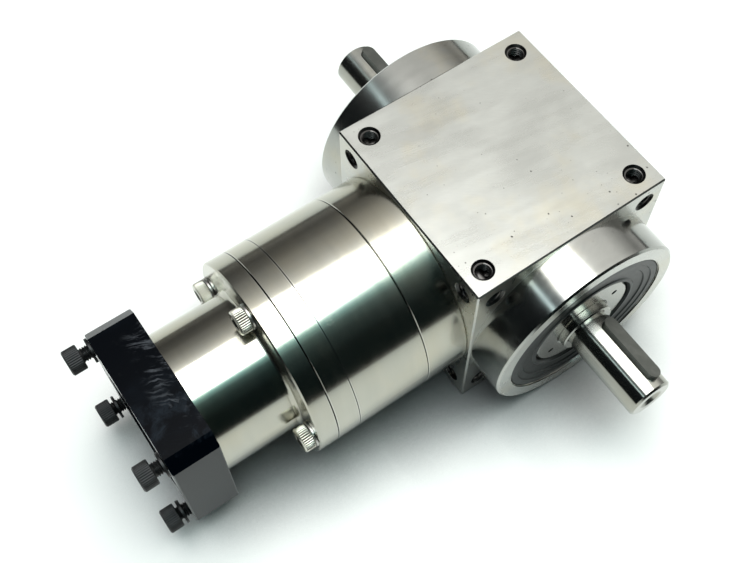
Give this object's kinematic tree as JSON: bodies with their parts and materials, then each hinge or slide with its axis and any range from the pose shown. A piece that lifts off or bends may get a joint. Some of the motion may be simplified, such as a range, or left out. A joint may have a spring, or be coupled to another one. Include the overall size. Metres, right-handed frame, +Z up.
{
  "type": "right-angle planetary gearbox",
  "caption": "Right-angle gearbox with a cube housing, double-ended keyed output shaft, bevel pair, in-line planetary input stage and a black square motor adapter plate.",
  "frame": {"origin": "centre of the cube housing's bottom face", "axes": "+X along the output shaft, towards its right end; +Y from the motor side to the plain rear face; +Z up, out of the top face"},
  "size_m": [0.1688, 0.1857, 0.075],
  "materials": {
    "ground_steel": "ground tool steel, fine straight grinding marks",
    "turned_steel": "turned and polished steel",
    "seal_rubber": "black nitrile rubber",
    "spring_steel": "plain spring steel",
    "bright_screw": "bright plated socket screws",
    "black_anodised": "black anodised aluminium with light scuffs",
    "black_oxide": "black oxide steel",
    "key_steel": "drawn key steel",
    "shaft_steel": "fine ground steel",
    "bearing_steel": "polished bearing steel",
    "gear_steel": "hardened and ground gear steel"
  },
  "bodies": {
    "housing": {"main_housing": "ground_steel", "output_seal_right": "seal_rubber", "output_seal_left": "seal_rubber", "output_circlip_right": "spring_steel", "output_circlip_left": "spring_steel", "output_bearing_right_outer": "bearing_steel", "output_bearing_left_outer": "bearing_steel", "stage_housing": "turned_steel", "housing_oring": "seal_rubber", "ring_gear": "turned_steel", "bearing_plate": "turned_steel", "input_housing": "turned_steel", "flange_screws": "bright_screw", "flange_washers": "spring_steel", "motor_plate": "black_anodised", "adapter_screws": "black_oxide", "motor_screws": "black_oxide", "motor_washers": "black_oxide", "input_seal": "seal_rubber", "pinion_bearing_front_outer": "bearing_steel", "pinion_bearing_rear_outer": "bearing_steel", "input_bearing_outer": "bearing_steel", "access_plug": "seal_rubber"},
    "output": {"output_shaft": "shaft_steel", "output_key_right": "key_steel", "output_key_left": "key_steel", "bevel_gear": "gear_steel", "bevel_gear_key": "key_steel", "output_bearing_right_inner": "bearing_steel", "output_bearing_left_inner": "bearing_steel", "lock_nut_right": "shaft_steel", "lock_nut_left": "shaft_steel", "spacer_sleeve": "shaft_steel"},
    "carrier": {"bevel_pinion": "gear_steel", "planet_carrier": "gear_steel", "planet_pins": "bearing_steel", "pinion_bearing_front_inner": "bearing_steel", "pinion_bearing_rear_inner": "bearing_steel"},
    "input": {"sun_gear": "gear_steel", "input_hub": "shaft_steel", "clamp_collar": "shaft_steel", "clamp_screw": "black_oxide", "input_bearing_inner": "bearing_steel"},
    "planet_1": {"planet_gear_1": "gear_steel", "planet_needles_1": "bearing_steel"},
    "planet_2": {"planet_gear_2": "gear_steel", "planet_needles_2": "bearing_steel"},
    "planet_3": {"planet_gear_3": "gear_steel", "planet_needles_3": "bearing_steel"},
    "output_cage_right": {"output_balls_right": "bearing_steel"},
    "output_cage_left": {"output_balls_left": "bearing_steel"},
    "pinion_cage_front": {"pinion_balls_front": "bearing_steel"},
    "pinion_cage_rear": {"pinion_balls_rear": "bearing_steel"},
    "input_cage": {"input_balls": "bearing_steel"}
  },
  "joints": [
    {"name": "output_spin", "type": "hinge", "parent": "housing", "child": "output", "pos_m": [0, 0, 0.0375], "axis": [1, 0, 0], "continuous": true},
    {"name": "carrier_spin", "type": "hinge", "parent": "housing", "child": "carrier", "pos_m": [0, 0, 0.0375], "axis": [0, 1, 0], "continuous": true},
    {"name": "input_spin", "type": "hinge", "parent": "housing", "child": "input", "pos_m": [0, 0, 0.0375], "axis": [0, 1, 0], "continuous": true},
    {"name": "planet_1_spin", "type": "hinge", "parent": "carrier", "child": "planet_1", "pos_m": [0.0165, -0.068, 0.0375], "axis": [0, 1, 0], "continuous": true},
    {"name": "planet_2_spin", "type": "hinge", "parent": "carrier", "child": "planet_2", "pos_m": [-0.00825, -0.068, 0.05179], "axis": [0, 1, 0], "continuous": true},
    {"name": "planet_3_spin", "type": "hinge", "parent": "carrier", "child": "planet_3", "pos_m": [-0.00825, -0.068, 0.02321], "axis": [0, 1, 0], "continuous": true},
    {"name": "output_cage_right_spin", "type": "hinge", "parent": "housing", "child": "output_cage_right", "pos_m": [0, 0, 0.0375], "axis": [1, 0, 0], "continuous": true},
    {"name": "output_cage_left_spin", "type": "hinge", "parent": "housing", "child": "output_cage_left", "pos_m": [0, 0, 0.0375], "axis": [1, 0, 0], "continuous": true},
    {"name": "pinion_cage_front_spin", "type": "hinge", "parent": "housing", "child": "pinion_cage_front", "pos_m": [0, 0, 0.0375], "axis": [0, 1, 0], "continuous": true},
    {"name": "pinion_cage_rear_spin", "type": "hinge", "parent": "housing", "child": "pinion_cage_rear", "pos_m": [0, 0, 0.0375], "axis": [0, 1, 0], "continuous": true},
    {"name": "input_cage_spin", "type": "hinge", "parent": "housing", "child": "input_cage", "pos_m": [0, 0, 0.0375], "axis": [0, 1, 0], "continuous": true}
  ],
  "couplings": [
    {"joint": "carrier_spin", "follows": "output_spin", "ratio": 2},
    {"joint": "input_spin", "follows": "output_spin", "ratio": 10},
    {"joint": "planet_1_spin", "follows": "output_spin", "ratio": -5.3333},
    {"joint": "planet_2_spin", "follows": "output_spin", "ratio": -5.3333},
    {"joint": "planet_3_spin", "follows": "output_spin", "ratio": -5.3333},
    {"joint": "output_cage_right_spin", "follows": "output_spin", "ratio": 0.39674},
    {"joint": "output_cage_left_spin", "follows": "output_spin", "ratio": 0.39674},
    {"joint": "pinion_cage_front_spin", "follows": "output_spin", "ratio": 0.79516},
    {"joint": "pinion_cage_rear_spin", "follows": "output_spin", "ratio": 0.79516},
    {"joint": "input_cage_spin", "follows": "output_spin", "ratio": 4.1181}
  ]
}
